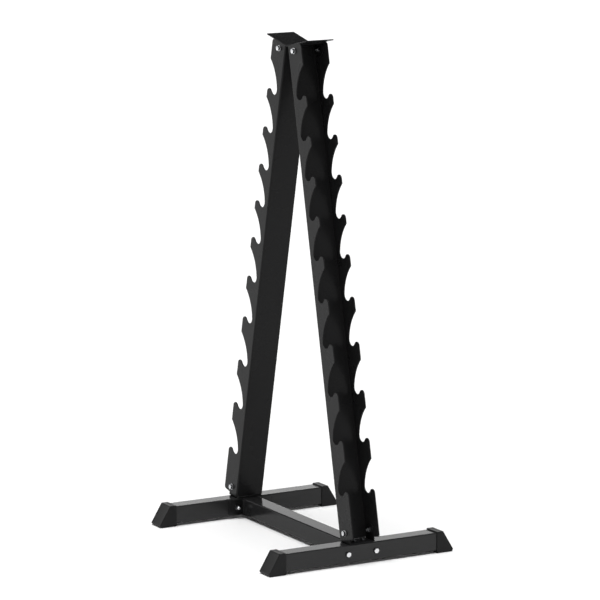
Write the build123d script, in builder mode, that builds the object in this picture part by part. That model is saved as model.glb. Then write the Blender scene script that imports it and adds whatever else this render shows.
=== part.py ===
from build123d import *
from math import atan2, cos, degrees, radians, sqrt, tan
import os

# A free-standing A-shaped rack for ten pairs of dumbbells.
# X runs along the dumbbell handles and the foot bars, Y across the spread of the A, Z up.
# The origin is on the floor, midway between the two feet. Every length is in millimetres.

# ---- driving sizes -------------------------------------------------------------------------

# uprights: folded channels, web towards the middle of the A, toothed flanges outwards
upright_width = 85.0          # across the flanges
upright_depth = 72.0          # web face to toothed edge
upright_length = 1353.0       # along the slope
upright_top_out = 6.28        # upper end of each web face, out from the middle of the rack
sheet = 3.0                   # folded sheet thickness
fold_radius = 4.0             # outside radius of every fold
upright_top_corner = 9.0      # radius of the outer top corner of each flange
upright_bottom_corner = 7.0   # radius of the outer bottom corner of each flange

# notches that hold the handles
first_rest = 120.5            # lowest handle rest, measured up the slope
tier_steps = [139.5, 131.0, 132.0, 123.5, 116.0, 109.5, 108.5, 109.5, 111.5]
rest_radius = 17.2            # round seat under the handle
rest_setback = 34.4           # seat centre, in from the toothed edge
hook_radius = 12.0            # rounded nose of each hook
notch_height = 93.0           # seat bottom to the sharp corner above
sweep_start = 14.0            # degrees past the back of the seat where the long sweep begins

# square tubes of the base
tube_size = 50.0
tube_wall = 2.0
tube_radius = 3.5
foot_spread = 680.0           # outside to outside of the foot tubes, sets how far the uprights lean
foot_tube_length = 512.0
floor_gap = 7.5               # underside of the tubes above the floor

# plates on the ends of the base beam
beam_plate_width = 138.0
beam_plate_height = 42.0
beam_plate_thickness = 4.0
beam_plate_corner = 3.0
beam_cheek_depth = 10.0       # cheeks that grip the sides of the beam
beam_bolt_spacing = 88.0

# moulded caps on the ends of the foot tubes
cap_grip = 17.5               # length of foot tube inside a cap
cap_top_length = 20.0         # flat top, open end to slope
cap_bottom_length = 48.5      # flat bottom, open end to chamfer
cap_chamfer = (4.5, 6.5)      # run and rise of the lower chamfer
cap_wall = 3.0
cap_round = 2.2

# folded brackets that join the uprights to the feet and to the top plate
bracket_clearance = 0.2       # between an ear and the flange it lies in
ear_radius = 19.0
ear_heel = 7.5                # inner edge of a foot ear, outward of the tube's inner face
upright_inset = 2.2           # heel of the upright, in from the inner face of the foot tube
seat_clearance = 0.4          # between the heel of the upright and the bracket under it
bracket_bolt_spacing = 26.0   # the two bolts through the base of a foot bracket
base_bolt_outset = 5.0        # those bolts, outward of the tube's centre line

# V-shaped top plate
wing_overhang = 34.1          # past the toothed edges of the uprights
wing_corner = 1.5             # corners of the wings, seen from above
top_bracket_reach = 58.0      # upper brackets, web face to outer edge
top_bracket_lip = 8.0         # straight side of an upper ear next to the plate

# bolts through the flanges, from the web face and from each end of an upright
flange_bolt_setback = 31.5
lower_bolt_height = 19.2
upper_bolt_drop = 16.0

# M8 fasteners
bolt_diameter = 8.0
hole_clearance = 0.6
hex_flats = 13.0
hex_head_height = 5.3
nut_height = 8.0
nut_collar = 2.2
collar_step = 0.8             # collar of a lock nut, in from the flats
washer_diameter = 16.0
washer_thickness = 1.6
washer_fit = 0.4              # hole of a washer over the bolt
thread_fit = 0.1              # gap between a nut and its bolt
bolt_tip_chamfer = 0.8
washer_edge_radius = 0.3
flange_bolt_end = 4.2         # what each bolt shows past its nut
base_bolt_end = 9.2
beam_bolt_end = 6.4

# ---- worked out from the sizes above -----------------------------------------------------------

tube_inner = tube_size - 2 * tube_wall
tube_top = floor_gap + tube_size
tube_middle = floor_gap + tube_size / 2
foot_outer = foot_spread / 2
foot_inner = foot_outer - tube_size
foot_centre = foot_outer - tube_size / 2
heel_out = foot_inner + upright_inset
heel_height = tube_top + sheet + seat_clearance
flange_inner = upright_width / 2 - sheet
ear_outer = flange_inner - bracket_clearance
ear_inner = ear_outer - sheet
rest_heights = [first_rest + sum(tier_steps[:tier]) for tier in range(len(tier_steps) + 1)]
hole_radius = (bolt_diameter + hole_clearance) / 2
hex_circle = hex_flats / 2 / cos(radians(30))
hex_chamfer = radians(30)
plate_face = foot_inner - beam_plate_thickness
cap_mouth = foot_tube_length / 2 - cap_grip
plain_nut_height = nut_height - nut_collar
flange_grip = washer_thickness + sheet + bracket_clearance + sheet
flange_bolt_length = flange_grip + nut_height + flange_bolt_end
base_bolt_length = sheet + tube_wall + plain_nut_height + base_bolt_end
beam_grip = tube_size + beam_plate_thickness + washer_thickness
beam_bolt_length = beam_grip + nut_height + beam_bolt_end
slope_sin = (heel_out - upright_top_out) / upright_length
slope_cos = sqrt(1 - slope_sin**2)
wing_length = upright_top_out / slope_cos + upright_depth + wing_overhang

os.makedirs("parts", exist_ok=True)


def save(solid, name):
    solid.label = name
    export_step(solid, f"parts/{name}.step")


# ---- planes ------------------------------------------------------------------------------------

def slope_plane(side):
    # Across an upright at its heel: x along the handles, z up the slope, y back into the A.
    # side is -1 for the front upright and 1 for the rear one.
    return Plane(
        origin=(0, side * heel_out, heel_height),
        x_dir=(-side, 0, 0),
        z_dir=(0, -side * slope_sin, slope_cos),
    )


def flange_plane(side):
    # Flat on an upright's flanges at mid width: x outward from the web, y up the slope.
    slope = slope_plane(side)
    return Plane(origin=slope.origin, x_dir=-slope.y_dir, z_dir=-slope.x_dir)


def on_slope(side, outward, up, across=0):
    # A point given from the heel of an upright, in the frame of the whole rack.
    return slope_plane(side).from_local_coords(Vector(-side * across, -outward, up))


# ---- uprights ----------------------------------------------------------------------------------

def notch_outline():
    # One notch, drawn with the bottom of its seat at y = 0 and the toothed edge at x = 0.
    seat = Vector(-rest_setback, rest_radius)
    reach = rest_radius + hook_radius
    nose_drop = sqrt(reach**2 - (rest_setback - hook_radius) ** 2)
    nose = Vector(-hook_radius, rest_radius - nose_drop)
    joint_angle = degrees(atan2(nose.Y - seat.Y, nose.X - seat.X))
    back_angle = 180 - sweep_start
    with BuildSketch(mode=Mode.PRIVATE) as notch:
        with BuildLine():
            nose_arc = CenterArc(nose, hook_radius, 0, 180 + joint_angle)
            seat_arc = CenterArc(seat, rest_radius, joint_angle, back_angle - 360 - joint_angle)
            corner = (0, notch_height)
            TangentArc(seat_arc @ 1, corner, tangent=seat_arc % 1)
            Polyline(corner, (sheet, notch_height), (sheet, nose.Y), nose_arc @ 0)
        make_face()
    return notch.sketch


notch_shape = notch_outline()


def make_upright(side):
    with BuildPart() as upright:
        with BuildSketch(slope_plane(side)) as section:
            with Locations((0, -upright_depth / 2)):
                Rectangle(upright_width, upright_depth)
            with Locations((0, -upright_depth / 2 - sheet)):
                Rectangle(2 * flange_inner, upright_depth, mode=Mode.SUBTRACT)
            fillet(section.vertices().group_by(Axis.Y)[-2], fold_radius - sheet)
            fillet(section.vertices().group_by(Axis.Y)[-1], fold_radius)
        extrude(amount=upright_length)
        with BuildSketch(flange_plane(side)) as flange:
            with Locations((upright_depth / 2, upright_length / 2)):
                Rectangle(upright_depth, upright_length)
            fillet(flange.vertices().group_by(Axis.X)[-1].sort_by(Axis.Y)[-1], upright_top_corner)
            fillet(flange.vertices().group_by(Axis.X)[-1].sort_by(Axis.Y)[0], upright_bottom_corner)
            with Locations(*[(upright_depth, height) for height in rest_heights]):
                add(notch_shape, mode=Mode.SUBTRACT)
            bolt_heights = (lower_bolt_height, upright_length - upper_bolt_drop)
            with Locations(*[(flange_bolt_setback, height) for height in bolt_heights]):
                Circle(hole_radius, mode=Mode.SUBTRACT)
        extrude(amount=upright_width, both=True, mode=Mode.INTERSECT)
    return upright.part


# ---- folded brackets ---------------------------------------------------------------------------

def bracket_plane(side):
    # Upright and square across a foot: x outward from the inner face of the tube, y up.
    return Plane(origin=(0, side * foot_inner, tube_top), x_dir=(0, side, 0), z_dir=(side, 0, 0))


def lower_bolt_centre(side):
    centre = on_slope(side, flange_bolt_setback, lower_bolt_height)
    return (side * centre.Y - foot_inner, centre.Z - tube_top)


def make_foot_bracket(side):
    bolt_centre = lower_bolt_centre(side)
    with BuildPart() as bracket:
        with BuildSketch(bracket_plane(side)):
            with Locations(((ear_heel + tube_size) / 2, sheet / 2)):
                Rectangle(tube_size - ear_heel, sheet)
            with Locations(bolt_centre):
                Circle(ear_radius)
            make_hull()
            with Locations(bolt_centre):
                Circle(hole_radius, mode=Mode.SUBTRACT)
        extrude(amount=ear_outer, both=True)
        with BuildSketch(bracket_plane(side)):
            with Locations((tube_size / 2, sheet / 2)):
                Rectangle(tube_size, sheet)
        extrude(amount=ear_outer, both=True)
        with BuildSketch(bracket_plane(side)):
            with Locations((tube_size / 2, sheet + tube_size)):
                Rectangle(2 * tube_size, 2 * tube_size)
        extrude(amount=ear_inner, both=True, mode=Mode.SUBTRACT)
        folds = bracket.edges().filter_by(Axis.Y).group_by(Axis.Z)[0]
        fillet(folds, fold_radius)
        with BuildSketch(Plane.XY.offset(tube_top)):
            with Locations((0, side * (foot_centre + base_bolt_outset))):
                with GridLocations(bracket_bolt_spacing, 0, 2, 1):
                    Circle(hole_radius)
        extrude(amount=sheet, mode=Mode.SUBTRACT)
    return bracket.part


def make_top_bracket(side):
    heel = fold_radius
    reach = top_bracket_reach - heel
    bolt_centre = (flange_bolt_setback, upright_length - upper_bolt_drop)
    with BuildPart() as bracket:
        with BuildSketch(flange_plane(side)):
            with Locations((heel + reach / 2, upright_length - top_bracket_lip / 2)):
                Rectangle(reach, top_bracket_lip)
            with Locations(bolt_centre):
                Circle(ear_radius)
            make_hull()
            with Locations(bolt_centre):
                Circle(hole_radius, mode=Mode.SUBTRACT)
            with Locations((flange_bolt_setback, upright_length + ear_radius)):
                Rectangle(4 * ear_radius, 2 * ear_radius, mode=Mode.SUBTRACT)
        extrude(amount=ear_outer, both=True)
        with BuildSketch(flange_plane(side)):
            with Locations((flange_bolt_setback, upright_length - sheet - upright_depth / 2)):
                Rectangle(2 * upright_depth, upright_depth)
        extrude(amount=ear_inner, both=True, mode=Mode.SUBTRACT)
        slope = slope_plane(side)
        along = Axis(slope.origin, slope.y_dir)
        folds = bracket.edges().filter_by(along).group_by(Axis(slope.origin, slope.z_dir))[-1]
        fillet(folds, fold_radius)
    return bracket.part


# ---- top plate ---------------------------------------------------------------------------------

def make_top_plate():
    # Two wings that lie on the ends of the uprights and meet in a crease over the middle.
    crease_height = heel_height + (upright_length - heel_out * slope_sin) / slope_cos
    tip_out = wing_length * slope_cos
    tip_up = crease_height + wing_length * slope_sin
    skin_out = sheet * slope_sin
    skin_up = sheet * slope_cos
    with BuildPart() as plate:
        with BuildSketch(Plane.YZ):
            with BuildLine():
                Polyline(
                    (-tip_out, tip_up),
                    (0, crease_height),
                    (tip_out, tip_up),
                    (tip_out - skin_out, tip_up + skin_up),
                    (0, crease_height + sheet / slope_cos),
                    (-tip_out + skin_out, tip_up + skin_up),
                    close=True,
                )
            make_face()
        extrude(amount=upright_width / 2, both=True)
        crease = plate.edges().filter_by(Axis.X).filter_by_position(Axis.Y, -1, 1).sort_by(Axis.Z)
        fillet(crease[-1], fold_radius - sheet)
        fillet(crease[0], fold_radius)
        tips = plate.edges().filter_by(lambda edge: abs(edge.length - sheet) < 0.01)
        fillet(tips, wing_corner)
    return plate.part


# ---- base --------------------------------------------------------------------------------------

def tube_section(plane):
    with BuildSketch(plane, mode=Mode.PRIVATE) as section:
        RectangleRounded(tube_size, tube_size, tube_radius)
        RectangleRounded(tube_inner, tube_inner, tube_radius - tube_wall, mode=Mode.SUBTRACT)
    return section.sketch


def make_foot_tube(side):
    across = Plane(origin=(0, side * foot_centre, tube_middle), x_dir=(0, 1, 0), z_dir=(1, 0, 0))
    facing = Plane(origin=(0, side * foot_centre, tube_middle), x_dir=(1, 0, 0), z_dir=(0, -1, 0))
    with BuildPart() as tube:
        extrude(tube_section(across), amount=foot_tube_length / 2, both=True)
        with BuildSketch(facing):
            with GridLocations(beam_bolt_spacing, 0, 2, 1):
                Circle(hole_radius)
        extrude(amount=tube_size, both=True, mode=Mode.SUBTRACT)
        with BuildSketch(Plane.XY.offset(tube_top)):
            with Locations((0, side * (foot_centre + base_bolt_outset))):
                with GridLocations(bracket_bolt_spacing, 0, 2, 1):
                    Circle(hole_radius)
        extrude(amount=-tube_size / 2, mode=Mode.SUBTRACT)
    return tube.part


def make_base_beam():
    across = Plane(origin=(0, 0, tube_middle), x_dir=(1, 0, 0), z_dir=(0, -1, 0))
    with BuildPart() as beam:
        extrude(tube_section(across), amount=plate_face, both=True)
    return beam.part


def make_beam_plate(side):
    # The plate lies on the foot; its cheeks grip the sides of the beam.
    on_foot = Plane(origin=(0, side * foot_inner, tube_middle), x_dir=(1, 0, 0), z_dir=(0, -side, 0))
    with BuildPart() as plate:
        with BuildSketch(on_foot):
            RectangleRounded(beam_plate_width, beam_plate_height, beam_plate_corner)
            with GridLocations(beam_bolt_spacing, 0, 2, 1):
                Circle(hole_radius, mode=Mode.SUBTRACT)
        extrude(amount=beam_plate_thickness)
        with BuildSketch(on_foot.offset(beam_plate_thickness)):
            with GridLocations(tube_size + beam_plate_thickness, 0, 2, 1):
                Rectangle(beam_plate_thickness, beam_plate_height)
        extrude(amount=beam_cheek_depth)
        cheek_tips = plate.edges().filter_by(Axis.X).group_by(Axis(on_foot.origin, on_foot.z_dir))[-1]
        fillet(cheek_tips, beam_plate_corner)
    return plate.part


# ---- foot caps ---------------------------------------------------------------------------------

def make_foot_cap(side, end):
    # A sleeve over the end of a foot tube. It stands on the floor and slopes outward below.
    # end is -1 for the cap at -X and 1 for the one at +X.
    middle = Plane(origin=(0, side * foot_centre, 0), x_dir=(end, 0, 0), z_dir=(0, -end, 0))
    mouth_centre = (end * cap_mouth, side * foot_centre, tube_middle)
    mouth = Plane(origin=mouth_centre, x_dir=(0, 1, 0), z_dir=(end, 0, 0))
    half_width = tube_size / 2 + cap_wall
    cap_top = tube_top + cap_wall
    bottom_end = cap_mouth + cap_bottom_length
    toe = (bottom_end + cap_chamfer[0], cap_chamfer[1])
    shoulder = (cap_mouth + cap_top_length, cap_top)
    slope_run = (toe[0] - shoulder[0]) / (shoulder[1] - toe[1])
    tube_end = foot_tube_length / 2
    hollow_top = tube_top - tube_wall
    hollow_bottom = floor_gap + tube_wall
    hollow_end = shoulder[0] - cap_wall * sqrt(1 + slope_run**2)
    with BuildPart() as cap:
        with BuildSketch(middle):
            with BuildLine():
                Polyline(
                    (cap_mouth, 0),
                    (bottom_end, 0),
                    toe,
                    shoulder,
                    (cap_mouth, cap_top),
                    close=True,
                )
            make_face()
        extrude(amount=half_width, both=True)
        outward = cap.faces().filter_by_position(Axis.X, end * cap_mouth, end * cap_mouth)
        rim = outward.edges()
        fillet(cap.edges() - rim, cap_round)
        with BuildSketch(mouth):
            RectangleRounded(tube_size, tube_size, tube_radius)
        extrude(amount=tube_end - cap_mouth, mode=Mode.SUBTRACT)
        with BuildSketch(middle):
            with BuildLine():
                Polyline(
                    (tube_end - cap_wall, hollow_bottom),
                    (hollow_end + (cap_top - hollow_bottom) * slope_run, hollow_bottom),
                    (hollow_end + (cap_top - hollow_top) * slope_run, hollow_top),
                    (tube_end - cap_wall, hollow_top),
                    close=True,
                )
            make_face()
        extrude(amount=tube_inner / 2 - cap_wall, both=True, mode=Mode.SUBTRACT)
    return cap.part


# ---- fasteners ---------------------------------------------------------------------------------

def make_bolt(seat, length):
    # seat is the face under the head, with its z axis out through the head.
    with BuildPart(seat) as bolt:
        with BuildSketch(seat):
            RegularPolygon(hex_circle, 6)
        extrude(amount=hex_head_height)
        Cone(
            bottom_radius=hex_flats / 2 + hex_head_height / tan(hex_chamfer),
            top_radius=hex_flats / 2,
            height=hex_head_height,
            align=(Align.CENTER, Align.CENTER, Align.MIN),
            mode=Mode.INTERSECT,
        )
        Cylinder(bolt_diameter / 2, length, align=(Align.CENTER, Align.CENTER, Align.MAX))
        tip = bolt.edges().filter_by(GeomType.CIRCLE).group_by(Axis(seat.origin, seat.z_dir))[0]
        chamfer(tip, bolt_tip_chamfer)
    return bolt.part


def make_nut(seat, collar):
    # Hexagon against the seat, then the plain round collar of a lock nut if it has one.
    with BuildPart(seat) as nut:
        with BuildSketch(seat):
            RegularPolygon(hex_circle, 6)
        extrude(amount=plain_nut_height)
        Cone(
            bottom_radius=hex_flats / 2 + plain_nut_height / tan(hex_chamfer),
            top_radius=hex_flats / 2,
            height=plain_nut_height,
            align=(Align.CENTER, Align.CENTER, Align.MIN),
            mode=Mode.INTERSECT,
        )
        if collar:
            Cylinder(
                hex_flats / 2 - collar_step,
                nut_height,
                align=(Align.CENTER, Align.CENTER, Align.MIN),
            )
            rim = nut.edges().filter_by(GeomType.CIRCLE).group_by(Axis(seat.origin, seat.z_dir))[-1]
            fillet(rim, nut_collar / 2)
        with BuildSketch(seat):
            Circle(bolt_diameter / 2 + thread_fit)
        extrude(amount=nut_height, mode=Mode.SUBTRACT)
    return nut.part


def make_washer(seat):
    with BuildPart(seat) as washer:
        with BuildSketch(seat):
            Circle(washer_diameter / 2)
            Circle((bolt_diameter + washer_fit) / 2, mode=Mode.SUBTRACT)
        extrude(amount=washer_thickness)
        outer_edges = washer.edges().filter_by(GeomType.CIRCLE).sort_by(SortBy.RADIUS)[-2:]
        fillet(outer_edges, washer_edge_radius)
    return washer.part


def seat_at(point, direction):
    return Plane(origin=point, x_dir=(0, 0, 1), z_dir=direction)


def save_group(solids, name):
    save(Compound(children=solids), name)


def save_flange_bolts(height, where):
    # One bolt through each of the four flanges at this height up the slope.
    bolts = []
    washers = []
    nuts = []
    for side in (-1, 1):
        for end in (-1, 1):
            centre = on_slope(side, flange_bolt_setback, height)
            outside = upright_width / 2
            washers.append(make_washer(seat_at((end * outside, centre.Y, centre.Z), (end, 0, 0))))
            head = seat_at((end * (outside + washer_thickness), centre.Y, centre.Z), (end, 0, 0))
            bolts.append(make_bolt(head, flange_bolt_length))
            nuts.append(make_nut(seat_at((end * ear_inner, centre.Y, centre.Z), (-end, 0, 0)), True))
    save_group(bolts, f"{where}_flange_bolts")
    save_group(washers, f"{where}_flange_washers")
    save_group(nuts, f"{where}_flange_nuts")


def save_base_bolts():
    # Through the base of each foot bracket into nuts welded under the top wall of the tube.
    bolts = []
    nuts = []
    for side in (-1, 1):
        for end in (-1, 1):
            x = end * bracket_bolt_spacing / 2
            y = side * (foot_centre + base_bolt_outset)
            head = Plane(origin=(x, y, tube_top + sheet), x_dir=(1, 0, 0), z_dir=(0, 0, 1))
            under = Plane(origin=(x, y, tube_top - tube_wall), x_dir=(1, 0, 0), z_dir=(0, 0, -1))
            bolts.append(make_bolt(head, base_bolt_length))
            nuts.append(make_nut(under, False))
    save_group(bolts, "bracket_base_bolts")
    save_group(nuts, "foot_tube_weld_nuts")


def save_beam_bolts():
    # Two bolts through each foot tube and the plate on the end of the beam.
    bolts = []
    washers = []
    nuts = []
    for side in (-1, 1):
        for end in (-1, 1):
            x = end * beam_bolt_spacing / 2
            inward = (0, -side, 0)
            head = seat_at((x, side * foot_outer, tube_middle), (0, side, 0))
            nut_out = side * (plate_face - washer_thickness)
            bolts.append(make_bolt(head, beam_bolt_length))
            washers.append(make_washer(seat_at((x, side * plate_face, tube_middle), inward)))
            nuts.append(make_nut(seat_at((x, nut_out, tube_middle), inward), True))
    save_group(bolts, "beam_bolts")
    save_group(washers, "beam_bolt_washers")
    save_group(nuts, "beam_bolt_nuts")


# ---- build and save ----------------------------------------------------------------------------

for side, where in ((-1, "front"), (1, "rear")):
    save(make_upright(side), f"{where}_upright")
    save(make_top_bracket(side), f"{where}_top_bracket")
    save(make_foot_bracket(side), f"{where}_foot_bracket")
    save(make_foot_tube(side), f"{where}_foot_tube")
    save(make_beam_plate(side), f"{where}_beam_plate")
    save(make_foot_cap(side, -1), f"{where}_left_foot_cap")
    save(make_foot_cap(side, 1), f"{where}_right_foot_cap")
save(make_base_beam(), "base_beam")
save(make_top_plate(), "top_plate")
save_flange_bolts(lower_bolt_height, "lower")
save_flange_bolts(upright_length - upper_bolt_drop, "upper")
save_base_bolts()
save_beam_bolts()
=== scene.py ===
import math
import random

import bmesh
import bpy
from mathutils import Matrix, Vector


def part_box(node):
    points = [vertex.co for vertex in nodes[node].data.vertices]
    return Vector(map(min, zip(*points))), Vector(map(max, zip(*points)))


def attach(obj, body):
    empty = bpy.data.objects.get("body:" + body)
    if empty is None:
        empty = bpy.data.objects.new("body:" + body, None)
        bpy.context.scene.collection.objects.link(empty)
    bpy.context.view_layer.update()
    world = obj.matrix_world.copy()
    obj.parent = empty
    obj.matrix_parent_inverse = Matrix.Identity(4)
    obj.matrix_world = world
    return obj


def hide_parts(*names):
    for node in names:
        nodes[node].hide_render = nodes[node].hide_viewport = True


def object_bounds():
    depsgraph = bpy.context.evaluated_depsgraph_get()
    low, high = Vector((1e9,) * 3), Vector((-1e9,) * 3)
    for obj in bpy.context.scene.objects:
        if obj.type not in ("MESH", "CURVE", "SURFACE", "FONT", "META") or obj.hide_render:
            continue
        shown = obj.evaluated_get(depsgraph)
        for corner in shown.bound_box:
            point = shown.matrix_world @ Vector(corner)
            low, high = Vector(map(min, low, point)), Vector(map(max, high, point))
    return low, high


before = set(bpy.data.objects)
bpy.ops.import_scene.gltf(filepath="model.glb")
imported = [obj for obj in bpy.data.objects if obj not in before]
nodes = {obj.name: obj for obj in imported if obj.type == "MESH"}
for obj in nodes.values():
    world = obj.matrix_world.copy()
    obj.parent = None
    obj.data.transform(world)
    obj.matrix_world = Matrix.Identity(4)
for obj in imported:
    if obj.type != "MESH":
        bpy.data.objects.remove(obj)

mm = 0.001
mergeGap = 0.002 * mm    # points nearer than this are one point
cadLow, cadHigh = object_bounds()
print("frame loaded,", len(nodes), "pieces")


# How each finish is made: powder coat, moulded plastic and zinc plate.

def newMaterial(name):
    material = bpy.data.materials.new(name)
    material.use_nodes = True
    tree = material.node_tree
    tree.nodes.clear()
    out = tree.nodes.new("ShaderNodeOutputMaterial")
    shader = tree.nodes.new("ShaderNodeBsdfPrincipled")
    tree.links.new(shader.outputs["BSDF"], out.inputs["Surface"])
    place = tree.nodes.new("ShaderNodeTexCoord")
    return material, tree, shader, place.outputs["Object"]


def noiseOn(tree, where, size, detail=2.0, roughness=0.5, stretch=None):
    # size is how wide one lump of the noise is, in metres
    if stretch:
        mapping = tree.nodes.new("ShaderNodeMapping")
        mapping.inputs["Scale"].default_value = stretch
        tree.links.new(where, mapping.inputs["Vector"])
        where = mapping.outputs["Vector"]
    noise = tree.nodes.new("ShaderNodeTexNoise")
    noise.inputs["Scale"].default_value = 1.0 / size
    noise.inputs["Detail"].default_value = detail
    noise.inputs["Roughness"].default_value = roughness
    tree.links.new(where, noise.inputs["Vector"])
    return noise.outputs["Fac"]


def spread(tree, value, low, high, fromLow=0.3, fromHigh=0.7):
    # most of a noise lies between 0.3 and 0.7
    ranger = tree.nodes.new("ShaderNodeMapRange")
    ranger.inputs["From Min"].default_value = fromLow
    ranger.inputs["From Max"].default_value = fromHigh
    ranger.inputs["To Min"].default_value = low
    ranger.inputs["To Max"].default_value = high
    tree.links.new(value, ranger.inputs["Value"])
    return ranger.outputs["Result"]


def blendColours(tree, amount, first, second):
    # each colour is three numbers or a socket; 6 and 7 are the mix node's colour inputs
    mix = tree.nodes.new("ShaderNodeMix")
    mix.data_type = "RGBA"
    tree.links.new(amount, mix.inputs[0])
    for colour, slot in ((first, mix.inputs[6]), (second, mix.inputs[7])):
        if isinstance(colour, bpy.types.NodeSocket):
            tree.links.new(colour, slot)
        else:
            slot.default_value = (*colour, 1)
    return mix.outputs[2]


def addBump(tree, shader, height, strength, distance, before=None):
    bump = tree.nodes.new("ShaderNodeBump")
    bump.inputs["Strength"].default_value = strength
    bump.inputs["Distance"].default_value = distance
    tree.links.new(height, bump.inputs["Height"])
    if before:
        tree.links.new(before, bump.inputs["Normal"])
    tree.links.new(bump.outputs["Normal"], shader.inputs["Normal"])
    return bump.outputs["Normal"]


def edgeAmount(tree, edgeRange):
    # high on the outer edges of the metal, zero on its flats
    geometry = tree.nodes.new("ShaderNodeNewGeometry")
    return spread(tree, geometry.outputs["Pointiness"], 0.0, 1.0, *edgeRange)


def powderCoat(name, look):
    material, tree, shader, where = newMaterial(name)
    cloud = noiseOn(tree, where, look["cloudSize"], detail=3.0)
    grain = noiseOn(tree, where, look["grainSize"], detail=2.0)
    peel = noiseOn(tree, where, look["peelSize"], detail=1.5)
    tone = blendColours(tree, cloud, look["dark"], look["light"])
    tone = blendColours(tree, edgeAmount(tree, look["edgeRange"]), tone, look["edge"])
    tree.links.new(tone, shader.inputs["Base Color"])
    tree.links.new(spread(tree, cloud, *look["roughness"]), shader.inputs["Roughness"])
    shader.inputs["Specular IOR Level"].default_value = look["shine"]
    waves = addBump(tree, shader, peel, look["peelStrength"], look["peelHeight"])
    addBump(tree, shader, grain, look["grainStrength"], look["grainHeight"], waves)
    return material


def mouldedPlastic(name, look):
    material, tree, shader, where = newMaterial(name)
    cloud = noiseOn(tree, where, look["cloudSize"], detail=3.0)
    grain = noiseOn(tree, where, look["grainSize"], detail=3.0, roughness=0.6)
    tone = blendColours(tree, cloud, look["dark"], look["light"])
    tree.links.new(tone, shader.inputs["Base Color"])
    tree.links.new(spread(tree, grain, *look["roughness"]), shader.inputs["Roughness"])
    shader.inputs["Specular IOR Level"].default_value = look["shine"]
    addBump(tree, shader, grain, look["grainStrength"], look["grainHeight"])
    return material


def zincPlate(name, look):
    material, tree, shader, where = newMaterial(name)
    cloud = noiseOn(tree, where, look["cloudSize"], detail=3.0)
    scratch = noiseOn(
        tree,
        where,
        look["scratchSize"],
        detail=3.0,
        roughness=0.6,
        stretch=look["scratchStretch"],
    )
    tone = blendColours(tree, cloud, look["dark"], look["light"])
    tree.links.new(tone, shader.inputs["Base Color"])
    shader.inputs["Metallic"].default_value = 1.0
    tree.links.new(spread(tree, scratch, *look["roughness"]), shader.inputs["Roughness"])
    addBump(tree, shader, scratch, look["scratchStrength"], look["scratchHeight"])
    return material


# The finishes. Peel is the powder coat's slow waves, grain its fine texture.

uprightLook = {
    "dark": (0.0072, 0.0072, 0.0074),
    "light": (0.0096, 0.0096, 0.0098),
    "edge": (0.022, 0.022, 0.0226),
    "edgeRange": (0.52, 0.6),    # pointiness where the edge's tone starts and is full
    "roughness": (0.24, 0.32),
    "shine": 0.1,
    "cloudSize": 90 * mm,
    "peelSize": 2.2 * mm,
    "peelStrength": 0.35,
    "peelHeight": 0.03 * mm,
    "grainSize": 0.6 * mm,
    "grainStrength": 0.3,
    "grainHeight": 0.01 * mm,
}
tubeLook = {
    "dark": (0.011, 0.011, 0.0113),
    "light": (0.016, 0.016, 0.0164),
    "edge": (0.034, 0.034, 0.0348),
    "edgeRange": (0.52, 0.6),
    "roughness": (0.1, 0.16),
    "shine": 0.12,
    "cloudSize": 110 * mm,
    "peelSize": 2.5 * mm,
    "peelStrength": 0.25,
    "peelHeight": 0.02 * mm,
    "grainSize": 0.6 * mm,
    "grainStrength": 0.2,
    "grainHeight": 0.006 * mm,
}
# The beam's copy of the tube paint is darker than the tube paint: painted shade on the beam's
# sides, shared by its end plates.
beamLookShaded = dict(
    tubeLook,
    dark=(0.006, 0.006, 0.0062),
    light=(0.01, 0.01, 0.0103),
)
footLook = dict(tubeLook, shine=0.26, roughness=(0.13, 0.22))
plateLook = {
    "dark": (0.0045, 0.0045, 0.0048),
    "light": (0.007, 0.007, 0.0073),
    "edge": (0.012, 0.012, 0.0124),
    "edgeRange": (0.52, 0.6),
    "roughness": (0.18, 0.26),
    "shine": 0.1,
    "cloudSize": 60 * mm,
    "peelSize": 2 * mm,
    "peelStrength": 0.35,
    "peelHeight": 0.03 * mm,
    "grainSize": 0.6 * mm,
    "grainStrength": 0.3,
    "grainHeight": 0.01 * mm,
}
bracketLook = dict(plateLook, shine=0.06, roughness=(0.42, 0.55))
capPlasticLook = {
    "dark": (0.012, 0.012, 0.0123),
    "light": (0.017, 0.017, 0.0174),
    "roughness": (0.3, 0.42),
    "shine": 0.1,
    "cloudSize": 30 * mm,
    "grainSize": 0.9 * mm,
    "grainStrength": 0.6,
    "grainHeight": 0.05 * mm,
}
nylonLook = {
    "dark": (0.07, 0.072, 0.075),
    "light": (0.11, 0.112, 0.115),
    "roughness": (0.35, 0.5),
    "shine": 0.5,
    "cloudSize": 2 * mm,
    "grainSize": 0.5 * mm,
    "grainStrength": 0.3,
    "grainHeight": 0.02 * mm,
}
zincLook = {
    "dark": (0.66, 0.67, 0.69),
    "light": (0.82, 0.82, 0.83),
    "roughness": (0.2, 0.36),
    "cloudSize": 6 * mm,
    "scratchSize": 0.6 * mm,
    "scratchStretch": (1.0, 1.0, 3.0),
    "scratchStrength": 0.25,
    "scratchHeight": 0.03 * mm,
}
# Darker copies of the zinc plate, painted shade: flange for the faces of the flange bolts, nut for
# the nuts in the channels and feet, side for the sides of every head, the bracket base bolts and
# the beam's nuts and washers.
zincShadeTones = {
    "flange": {"dark": (0.5, 0.51, 0.53), "light": (0.64, 0.645, 0.655)},
    "nut": {"dark": (0.17, 0.173, 0.18), "light": (0.26, 0.264, 0.27)},
    "side": {"dark": (0.05, 0.051, 0.054), "light": (0.09, 0.092, 0.095)},
}

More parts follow.
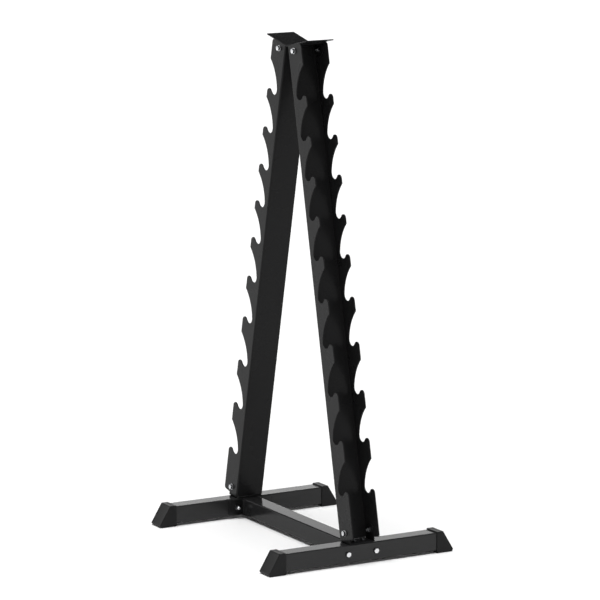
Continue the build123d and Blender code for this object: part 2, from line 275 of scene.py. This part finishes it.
uprightPaint = powderCoat("uprightPaint", uprightLook)
beamPaintShaded = powderCoat("beamPaintShaded", beamLookShaded)
footPaint = powderCoat("footPaint", footLook)
platePaint = powderCoat("platePaint", plateLook)
bracketPaint = powderCoat("bracketPaint", bracketLook)
capPlastic = mouldedPlastic("capPlastic", capPlasticLook)
boltZinc = zincPlate("boltZinc", zincLook)
flangeZincShaded = zincPlate("flangeZincShaded", dict(zincLook, **zincShadeTones["flange"]))
nutZincShaded = zincPlate("nutZincShaded", dict(zincLook, **zincShadeTones["nut"]))
sideZincShaded = zincPlate("sideZincShaded", dict(zincLook, **zincShadeTones["side"]))
nylon = mouldedPlastic("nylon", nylonLook)
print("materials made")


# Sheet metal, tubes and caps: the CAD shapes with their sharp edges rounded.

def addPiece(name, mesh, materials, stands=()):
    piece = bpy.data.objects.new(name, mesh)
    bpy.context.scene.collection.objects.link(piece)
    for material in materials:
        mesh.materials.append(material)
    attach(piece, "root")
    if stands:
        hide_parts(*stands)
    return piece


def meshFrom(shape, name):
    mesh = bpy.data.meshes.new(name)
    shape.to_mesh(mesh)
    shape.free()
    return mesh


def smoothUpTo(piece, sharpAngle):
    # edges that turn by more degrees than this stay sharp
    piece.data.shade_smooth()
    piece.data.set_sharp_from_angle(angle=math.radians(sharpAngle))


def boxOf(points):
    low = Vector([min(p[i] for p in points) for i in range(3)])
    high = Vector([max(p[i] for p in points) for i in range(3)])
    return low, high


def roundedCopy(node, name, material, look, cutDetail=None):
    shape = bmesh.new()
    shape.from_mesh(nodes[node].data)
    bmesh.ops.remove_doubles(shape, verts=shape.verts, dist=mergeGap)
    bmesh.ops.dissolve_limit(
        shape,
        angle_limit=math.radians(look["flatAngle"]),
        verts=shape.verts,
        edges=shape.edges,
    )
    keen = [e for e in shape.edges if len(e.link_faces) == 2
            and e.calc_face_angle(0) > math.radians(look["keenAngle"])]
    bmesh.ops.bevel(
        shape,
        geom=keen,
        offset=look["edgeRadius"],
        segments=look["edgeSteps"],
        profile=0.5,
        affect="EDGES",
        clamp_overlap=True,
    )
    if cutDetail:
        cutDetail(shape, look)
    piece = addPiece(name, meshFrom(shape, name), [material], [node])
    smoothUpTo(piece, look["sharpAngle"])
    even = piece.modifiers.new("evenNormals", "WEIGHTED_NORMAL")
    even.keep_sharp = True
    even.weight = look["flatWeight"]


sheetLook = {
    "flatAngle": 0.4,         # degrees: faces that meet flatter than this become one
    "keenAngle": 35,          # degrees: edges that turn by more than this are rounded
    "edgeRadius": 0.45 * mm,
    "edgeSteps": 2,
    "sharpAngle": 50,
    "flatWeight": 80,         # how much the large flats set the shading beside them
}
sheetPieces = [
    ("front_upright", "frontUpright", uprightPaint, "upright_paint"),
    ("rear_upright", "rearUpright", uprightPaint, "upright_paint"),
    ("front_foot_tube", "frontFootTube", footPaint, "tube_paint"),
    ("rear_foot_tube", "rearFootTube", footPaint, "tube_paint"),
    ("base_beam", "baseBeam", beamPaintShaded, "tube_paint"),
    ("top_plate", "topPlate", platePaint, "plate_paint"),
    ("front_top_bracket", "frontTopBracket", bracketPaint, "bracket_paint"),
    ("rear_top_bracket", "rearTopBracket", bracketPaint, "bracket_paint"),
    ("front_foot_bracket", "frontFootBracket", bracketPaint, "bracket_paint"),
    ("rear_foot_bracket", "rearFootBracket", bracketPaint, "bracket_paint"),
    ("front_beam_plate", "frontBeamPlate", beamPaintShaded, "plate_paint"),
    ("rear_beam_plate", "rearBeamPlate", beamPaintShaded, "plate_paint"),
]
for node, name, material, slotName in sheetPieces:
    roundedCopy(node, name, material, sheetLook)
print("sheet metal and tubes rounded")

capLook = dict(
    sheetLook,
    edgeRadius=0.6 * mm,
    keenAngle=40,
    collar=10 * mm,          # open end of the cap to the line moulded round it
    grooveWidth=1.2 * mm,
    grooveDepth=0.45 * mm,
    border=4.5 * mm,         # edge of the sloped end to the panel moulded in it
    skin=1.5 * mm,           # how far in from the outside still counts as outside
)


def grooveCap(shape, look):
    # a line moulded round the collar, and a shallow panel in the sloped end
    low, high = boxOf([v.co for v in shape.verts])
    end = 1 if low.x + high.x > 0 else -1
    mouth = low.x if end > 0 else high.x
    line = mouth + end * look["collar"]
    half = look["grooveWidth"] / 2
    for offset in (-half, 0, half):
        bmesh.ops.bisect_plane(
            shape,
            geom=shape.verts[:] + shape.edges[:] + shape.faces[:],
            plane_co=(mouth + end * (look["collar"] + offset), 0, 0),
            plane_no=(1, 0, 0),
            dist=mergeGap,
        )
    nearLine = look["grooveWidth"] * 0.1
    for v in shape.verts:
        if abs(v.co.x - line) > nearLine:
            continue
        if v.co.y - low.y < look["skin"]:
            v.co.y += look["grooveDepth"]
        if high.y - v.co.y < look["skin"]:
            v.co.y -= look["grooveDepth"]
        if high.z - v.co.z < look["skin"]:
            v.co.z -= look["grooveDepth"]
    # the sloped end is the largest face that looks both up and outwards
    slopes = [f for f in shape.faces if f.normal.z > 0.2 and f.normal.x * end > 0.5]
    slope = max(slopes, key=lambda f: f.calc_area())
    for width, depth in ((look["border"], 0), (half, -look["grooveDepth"])):
        bmesh.ops.inset_region(
            shape,
            faces=[slope],
            thickness=width,
            depth=depth,
            use_even_offset=True,
        )


capPieces = [
    ("front_left_foot_cap", "frontLeftFootCap"),
    ("front_right_foot_cap", "frontRightFootCap"),
    ("rear_left_foot_cap", "rearLeftFootCap"),
    ("rear_right_foot_cap", "rearRightFootCap"),
]
for node, name in capPieces:
    roundedCopy(node, name, capPlastic, capLook, grooveCap)
print("foot caps rounded and grooved")


# Fasteners. Each one stands where its solid stands in the CAD.

def solidsOf(node):
    # the separate solids of one CAD node, each as a list of its points
    shape = bmesh.new()
    shape.from_mesh(nodes[node].data)
    bmesh.ops.remove_doubles(shape, verts=shape.verts, dist=mergeGap)
    waiting = set(shape.verts)
    solids = []
    while waiting:
        toVisit = [waiting.pop()]
        points = []
        while toVisit:
            vert = toVisit.pop()
            points.append(vert.co.copy())
            for link in vert.link_edges:
                other = link.other_vert(vert)
                if other in waiting:
                    waiting.remove(other)
                    toVisit.append(other)
        solids.append(points)
    shape.free()
    solids.sort(key=lambda points: tuple(round(c, 4) for c in middleOf(points)))
    return solids


def middleOf(points):
    low, high = boxOf(points)
    return (low + high) / 2


def standOn(middle, axis, sign, along, turn):
    # a matrix with its origin at `along` on the axis, z pointing out, turned about z
    out = Vector((0, 0, 0))
    out[axis] = sign
    origin = middle.copy()
    origin[axis] = along
    rotation = out.to_track_quat("Z", "Y").to_matrix().to_4x4()
    return Matrix.Translation(origin) @ rotation @ Matrix.Rotation(turn, 4, "Z")


def awayFromAxis(point, middle, axis):
    flat = point - middle
    flat[axis] = 0
    return flat.length


def placeBolt(points, turn):
    # a bolt is longest along its axis; it stands on the underside of its head
    low, high = boxOf(points)
    middle = middleOf(points)
    axis = max(range(3), key=lambda i: high[i] - low[i])
    length = high[axis] - low[axis]
    clearOfShank = boltLook["shank"] * 0.7
    head = [p[axis] for p in points if awayFromAxis(p, middle, axis) > clearOfShank]
    if sum(head) / len(head) > middle[axis]:
        return standOn(middle, axis, 1, min(head), turn), length
    return standOn(middle, axis, -1, max(head), turn), length


def placeNut(points, turn):
    # nuts and washers are shortest along their axis; they stand on their wider end
    low, high = boxOf(points)
    middle = middleOf(points)
    axis = min(range(3), key=lambda i: high[i] - low[i])
    height = high[axis] - low[axis]
    corner = max(awayFromAxis(p, middle, axis) for p in points) * 0.97
    wide = [p[axis] for p in points if awayFromAxis(p, middle, axis) > corner]
    if abs(min(wide) - low[axis]) < abs(high[axis] - max(wide)):
        return standOn(middle, axis, 1, low[axis], turn), height
    return standOn(middle, axis, -1, high[axis], turn), height


def circleAt(radius, height):
    return lambda a: (radius * math.cos(a), radius * math.sin(a), height)


chamferAngle = 30    # degrees, how steeply the corners of a hexagon slope


def hexAt(flats, height, faceRadius=None, side=1):
    # a hexagon's outline; past the round face its corners slope away,
    # down from an upper face (side 1) or up from a lower one (side -1)
    def place(a):
        sixth = math.radians(60)
        radius = flats / 2 / math.cos((a + sixth / 2) % sixth - sixth / 2)
        past = max(0.0, radius - faceRadius) if faceRadius else 0.0
        drop = past * math.tan(math.radians(chamferAngle))
        return (radius * math.cos(a), radius * math.sin(a), height - side * drop)
    return place


def threadAt(look, height, fade):
    # one row of the thread; its groove winds down the shank
    def place(a):
        phase = (height / look["pitch"] + a / (2 * math.pi)) % 1.0
        groove = 1 - abs(2 * phase - 1)
        radius = look["shank"] / 2 - look["threadDepth"] * groove * fade
        return (radius * math.cos(a), radius * math.sin(a), height)
    return place


def addRings(shape, around, outline):
    return [
        [shape.verts.new(place(2 * math.pi * i / around)) for i in range(around)]
        for place in outline
    ]


def bridge(shape, first, second, index=0):
    count = len(first)
    for i in range(count):
        j = (i + 1) % count
        face = shape.faces.new((first[i], first[j], second[j], second[i]))
        face.material_index = index


boltLook = {
    "flats": 13 * mm,
    "headHeight": 5.3 * mm,
    "shank": 8 * mm,
    "pitch": 1.25 * mm,
    "threadDepth": 0.6 * mm,
    "threadLength": 13 * mm,
    "shortestPlain": 0.5 * mm,    # less bare shank than this is left out
    "around": 36,
    "rowsPerTurn": 8,
    "face": 0.94,          # flat top of the head, share of the width over the flats
    "dish": 0.35 * mm,     # shallow dish stamped in the head
    "dishWidth": 0.62,
    "dishOutline": ((0.55, 1.0), (0.86, 0.85), (1.0, 0.0)),    # shares of width and depth
    "seatWidth": 0.97,
    "seatStep": 0.3 * mm,
    "tipOutline": ((0.82, 0.35), (0.76, 0.0)),    # shares of the shank and of a pitch
}


def addBolt(shape, look, length):
    flats, height, shank = look["flats"], look["headHeight"], look["shank"] / 2
    faceRadius = flats / 2 * look["face"]
    dishRadius = flats / 2 * look["dishWidth"]
    seatRadius = flats / 2 * look["seatWidth"]
    outline = [
        circleAt(dishRadius * across, height - look["dish"] * deep)
        for across, deep in look["dishOutline"]
    ]
    outline += [circleAt(faceRadius, height), hexAt(flats, height, faceRadius)]
    faceRows = len(outline) - 1
    outline += [
        hexAt(flats, look["seatStep"]),
        circleAt(seatRadius, look["seatStep"]),
        circleAt(seatRadius, 0),
        circleAt(shank, 0),
    ]
    headRows = len(outline) - 1
    threadStart = look["threadLength"] - length
    if threadStart < -look["shortestPlain"]:
        outline.append(circleAt(shank, threadStart))
    step = look["pitch"] / look["rowsPerTurn"]
    rowCount = int((look["threadLength"] - look["pitch"]) / step)
    for row in range(1, rowCount + 1):
        fade = min(1.0, row / look["rowsPerTurn"])
        outline.append(threadAt(look, threadStart - row * step, fade))
    outline += [
        circleAt(shank * across, look["pitch"] * back - length)
        for across, back in look["tipOutline"]
    ]
    rings = addRings(shape, look["around"], outline)
    # materials: 0 on the face of the head, 1 on its sides, 2 on the shank and thread; the pieces
    # give the sides a dark zinc, painted shade
    for i, (first, second) in enumerate(zip(rings, rings[1:])):
        bridge(shape, second, first, 0 if i < faceRows else 1 if i < headRows else 2)
    shape.faces.new(rings[0])
    shape.faces.new(list(reversed(rings[-1]))).material_index = 2


nutLook = {
    "flats": 13 * mm,
    "face": 0.94,
    "hole": 4.05 * mm,
    "sink": 0.5 * mm,           # slope at the mouth of the hole
    "plainSink": 0.6 * mm,      # the same on top of a nut with no collar
    "collar": 2.2 * mm,
    "collarStep": 0.8 * mm,
    "collarFoot": 0.25 * mm,
    "collarRound": 1.1 * mm,
    "collarBends": (0, 18, 36, 54, 72),    # degrees round the collar's top edge
    "nylonTop": 0.25 * mm,      # how far under the top the nylon starts and ends
    "nylonDepth": 1.1 * mm,
    "around": 36,
}


def addNut(shape, look, height, plain):
    flats, hole, sink = look["flats"], look["hole"], look["sink"]
    faceRadius = flats / 2 * look["face"]
    collarRadius = flats / 2 - look["collarStep"]
    bodyTop = height if plain else height - look["collar"]
    outline = [
        circleAt(hole + sink, 0),
        circleAt(faceRadius, 0),
        hexAt(flats, 0, faceRadius, side=-1),
        hexAt(flats, bodyTop, faceRadius),
        circleAt(faceRadius, bodyTop),
    ]
    nylonRows = ()
    if plain:
        outline += [
            circleAt(hole + look["plainSink"], height),
            circleAt(hole, height - look["plainSink"]),
        ]
    else:
        outline.append(circleAt(collarRadius, bodyTop + look["collarFoot"]))
        for bend in look["collarBends"]:
            outline.append(circleAt(
                collarRadius - look["collarRound"] * (1 - math.cos(math.radians(bend))),
                height - look["collarRound"] * (1 - math.sin(math.radians(bend))),
            ))
        outline.append(circleAt(hole + sink, height))
        nylonRows = (len(outline), len(outline) + 1)
        outline += [
            circleAt(hole + sink, height - look["nylonTop"]),
            circleAt(hole, height - look["nylonTop"]),
            circleAt(hole, height - look["nylonDepth"]),
        ]
    outline.append(circleAt(hole, sink))
    rings = addRings(shape, look["around"], outline)
    for i, (first, second) in enumerate(zip(rings, rings[1:])):
        bridge(shape, first, second, 1 if i in nylonRows else 0)
    bridge(shape, rings[-1], rings[0])


washerLook = {
    "outer": 16 * mm,
    "inner": 8.4 * mm,
    "edge": 0.3 * mm,
    "edgeSteps": 4,
    "around": 48,
}


def addWasher(shape, look, thickness):
    outer, inner, edge = look["outer"] / 2, look["inner"] / 2, look["edge"]
    profile = [(inner, 0), (outer - edge / 2, 0), (outer, edge / 2)]
    for i in range(look["edgeSteps"] + 1):
        bend = math.radians(90 / look["edgeSteps"] * i)
        r = outer - edge * (1 - math.cos(bend))
        profile.append((r, thickness - edge * (1 - math.sin(bend))))
    profile += [(inner + edge / 2, thickness), (inner, thickness - edge / 2)]
    rings = addRings(shape, look["around"], [circleAt(r, z) for r, z in profile])
    for first, second in zip(rings, rings[1:]):
        bridge(shape, first, second)
    bridge(shape, rings[-1], rings[0])


fastenerSharpAngle = 28    # degrees


def fastenerGroup(node, name, place, build, materials):
    # one piece for all the copies in a CAD node, each turned by its own small chance
    shape = bmesh.new()
    chance = random.Random(name)
    for points in solidsOf(node):
        matrix, length = place(points, chance.uniform(0, 2 * math.pi))
        before = set(shape.verts)
        build(shape, length)
        fresh = [v for v in shape.verts if v not in before]
        bmesh.ops.transform(shape, matrix=matrix, verts=fresh)
    bmesh.ops.recalc_face_normals(shape, faces=shape.faces)
    piece = addPiece(name, meshFrom(shape, name), materials, [node])
    smoothUpTo(piece, fastenerSharpAngle)


# node, piece, zinc on the face of the head, zinc on the shank and thread; the darker zincs are
# painted shade, and every head's sides get the darkest one, painted shade too
boltPieces = [
    ("lower_flange_bolts", "lowerFlangeBolts", flangeZincShaded, sideZincShaded),
    ("upper_flange_bolts", "upperFlangeBolts", flangeZincShaded, sideZincShaded),
    ("bracket_base_bolts", "bracketBaseBolts", sideZincShaded, sideZincShaded),
    ("beam_bolts", "beamBolts", boltZinc, boltZinc),
]
for node, name, faceZinc, threadZinc in boltPieces:
    fastenerGroup(
        node,
        name,
        placeBolt,
        lambda shape, length: addBolt(shape, boltLook, length - boltLook["headHeight"]),
        [faceZinc, sideZincShaded, threadZinc],
    )
# node, piece, plain or with a nylon collar, zinc; these zincs are darker copies, painted shade on
# nuts that sit in shadow
nutPieces = [
    ("lower_flange_nuts", "lowerFlangeNuts", False, nutZincShaded),
    ("upper_flange_nuts", "upperFlangeNuts", False, nutZincShaded),
    ("beam_bolt_nuts", "beamBoltNuts", False, sideZincShaded),
    ("foot_tube_weld_nuts", "footTubeWeldNuts", True, nutZincShaded),
]
for node, name, plain, zinc in nutPieces:
    fastenerGroup(
        node,
        name,
        placeNut,
        lambda shape, height, plain=plain: addNut(shape, nutLook, height, plain),
        [zinc, nylon],
    )
washerPieces = [
    ("lower_flange_washers", "lowerFlangeWashers", boltZinc),
    ("upper_flange_washers", "upperFlangeWashers", boltZinc),
    # the beam's washers get the darkest zinc, painted shade
    ("beam_bolt_washers", "beamBoltWashers", sideZincShaded),
]
for node, name, zinc in washerPieces:
    fastenerGroup(
        node,
        name,
        placeNut,
        lambda shape, thickness: addWasher(shape, washerLook, thickness),
        [zinc],
    )
print("fasteners made")


# Weld beads that hold the end plates to the base beam.

weldLook = {
    "leg": 2.6 * mm,
    "margin": 3.5 * mm,      # end of a cheek to the end of its bead
    "ripple": 1.3 * mm,
    "rippleDepth": 0.12,     # share of the leg
    "rowsPerRipple": 4,
    "uneven": 0.02,
    "endSize": 0.45,         # share of its full size that a bead starts with
    "endGrowth": 0.2,        # and the share that each row adds
    "sag": 0.5,              # how far a ripple hangs in its middle, share of a ripple
    "tuck": 0.38,            # the bead's section: more tuck is flatter, more swell is rounder
    "swell": 0.1,
    "steps": 6,
    "root": 0.3 * mm,        # how far the bead goes into the corner
    "sharpAngle": 60,
}


def addWeld(shape, corner, sideways, inward, height, look, chance):
    # a fillet bead that climbs the corner between the beam's side and a cheek's end
    rowCount = int(height / look["ripple"] * look["rowsPerRipple"])
    rows = []
    for row in range(rowCount + 1):
        share = row / rowCount
        z = height * share
        wave = abs(math.sin(math.pi * z / look["ripple"]))
        uneven = chance.uniform(-look["uneven"], look["uneven"])
        size = look["leg"] * (1 + look["rippleDepth"] * (wave - 0.5) + uneven)
        rowsToEnd = min(share, 1 - share) * rowCount
        size *= min(1.0, look["endSize"] + look["endGrowth"] * rowsToEnd)
        sag = look["sag"] * wave * look["ripple"]
        points = []
        for i in range(look["steps"] + 1):
            bend = math.pi / 2 * i / look["steps"]
            bulge = 1 - look["tuck"] + look["swell"] * math.sin(2 * bend)
            across = size * math.cos(bend) * (bulge + look["tuck"] * math.cos(bend))
            along = size * math.sin(bend) * (bulge + look["tuck"] * math.sin(bend))
            lift = Vector((0, 0, z - sag * math.sin(2 * bend)))
            points.append(corner + sideways * across + inward * along + lift)
        points.append(corner + Vector((0, 0, z)) - (sideways + inward) * look["root"])
        rows.append([shape.verts.new(p) for p in points])
    for first, second in zip(rows, rows[1:]):
        bridge(shape, first, second)
    shape.faces.new(rows[0])
    shape.faces.new(list(reversed(rows[-1])))


def makeWelds(look):
    shape = bmesh.new()
    chance = random.Random("weld")
    beamLow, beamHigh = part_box("base_beam")
    for plateNode, inwards in (("front_beam_plate", 1), ("rear_beam_plate", -1)):
        plateLow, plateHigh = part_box(plateNode)
        cheekEnd = plateHigh.y if inwards > 0 else plateLow.y
        for side, beamSide in ((-1, beamLow.x), (1, beamHigh.x)):
            addWeld(
                shape,
                Vector((beamSide, cheekEnd, plateLow.z + look["margin"])),
                Vector((side, 0, 0)),
                Vector((0, inwards, 0)),
                plateHigh.z - plateLow.z - 2 * look["margin"],
                look,
                chance,
            )
    bmesh.ops.recalc_face_normals(shape, faces=shape.faces)
    beamWelds = addPiece("beamWelds", meshFrom(shape, "beamWelds"), [platePaint])
    smoothUpTo(beamWelds, look["sharpAngle"])


makeWelds(weldLook)
print("welds made")


# Floor, light and camera.

studio = {
    "floorSize": 160,
    "floorColour": (0.93, 0.93, 0.93),
    "mottle": 0.985,                  # darkest tone of the floor, share of its colour
    "mottleSize": 0.5,
    "floorRoughness": 0.9,
    "frontHorizon": 1.4,
    "rearHorizon": 2.9,
    "horizonTurn": (-0.3, 0.5),       # where along y the horizon turns from front to rear
    "ceiling": 0.06,
    "ceilingHeights": (0.19, 0.28),   # where along z the sky darkens, as sines of the angle up
    "overheadAngle": 46,              # degrees, how wide the light overhead is seen from the floor
    "overheadTilt": (4, -6),
    "overheadPower": 3.45,
}


def makeFloor(look):
    shape = bmesh.new()
    bmesh.ops.create_grid(shape, x_segments=8, y_segments=8, size=look["floorSize"] / 2)
    mesh = meshFrom(shape, "studioFloor")
    floor = bpy.data.objects.new("studioFloor", mesh)
    bpy.context.scene.collection.objects.link(floor)
    material, tree, shader, where = newMaterial("floorPaper")
    mottle = noiseOn(tree, where, look["mottleSize"])
    shade = [c * look["mottle"] for c in look["floorColour"]]
    tone = blendColours(tree, mottle, shade, look["floorColour"])
    tree.links.new(tone, shader.inputs["Base Color"])
    shader.inputs["Roughness"].default_value = look["floorRoughness"]
    shader.inputs["Specular IOR Level"].default_value = 0.0
    mesh.materials.append(material)
    floor.location.z = cadLow.z


def makeSky(look):
    # a bright band low down all round, brighter at the rear, under a dark ceiling
    world = bpy.data.worlds.new("studioSky")
    bpy.context.scene.world = world
    world.use_nodes = True
    tree = world.node_tree
    tree.nodes.clear()
    out = tree.nodes.new("ShaderNodeOutputWorld")
    glow = tree.nodes.new("ShaderNodeBackground")
    place = tree.nodes.new("ShaderNodeTexCoord")
    parts = tree.nodes.new("ShaderNodeSeparateXYZ")
    tree.links.new(place.outputs["Generated"], parts.inputs[0])
    ends = (look["frontHorizon"], look["rearHorizon"])
    horizon = spread(tree, parts.outputs["Y"], *ends, *look["horizonTurn"])
    height = spread(tree, parts.outputs["Z"], 0, 1, *look["ceilingHeights"])
    fade = tree.nodes.new("ShaderNodeMix")
    fade.inputs["B"].default_value = look["ceiling"]
    tree.links.new(height, fade.inputs["Factor"])
    tree.links.new(horizon, fade.inputs["A"])
    tree.links.new(fade.outputs["Result"], glow.inputs["Strength"])
    tree.links.new(glow.outputs[0], out.inputs[0])


def addOverhead(look):
    lamp = bpy.data.lights.new("overheadLight", "SUN")
    lamp.angle = math.radians(look["overheadAngle"])
    lamp.energy = look["overheadPower"]
    overhead = bpy.data.objects.new("overheadLight", lamp)
    overhead.location.z = cadHigh.z * 2
    overhead.rotation_euler = [math.radians(tilt) for tilt in look["overheadTilt"]] + [0]
    bpy.context.scene.collection.objects.link(overhead)


lens = {
    "place": (-4.8968, -8.5554, 2.4671),
    "azimuth": -29.785,
    "elevation": 10.296,
    "focal": 217.24,
    "sensor": 36,
    "reach": 200,
}


def addCamera(look):
    camera = bpy.data.objects.new("camera", bpy.data.cameras.new("camera"))
    bpy.context.scene.collection.objects.link(camera)
    camera.location = look["place"]
    pitch, heading = math.radians(90 - look["elevation"]), math.radians(look["azimuth"])
    camera.rotation_euler = (pitch, 0, heading)
    camera.data.lens = look["focal"]
    camera.data.sensor_width = look["sensor"]
    camera.data.clip_end = look["reach"]
    bpy.context.scene.camera = camera


makeFloor(studio)
makeSky(studio)
addOverhead(studio)
addCamera(lens)
bpy.context.scene.view_settings.view_transform = "Standard"
print("studio ready")
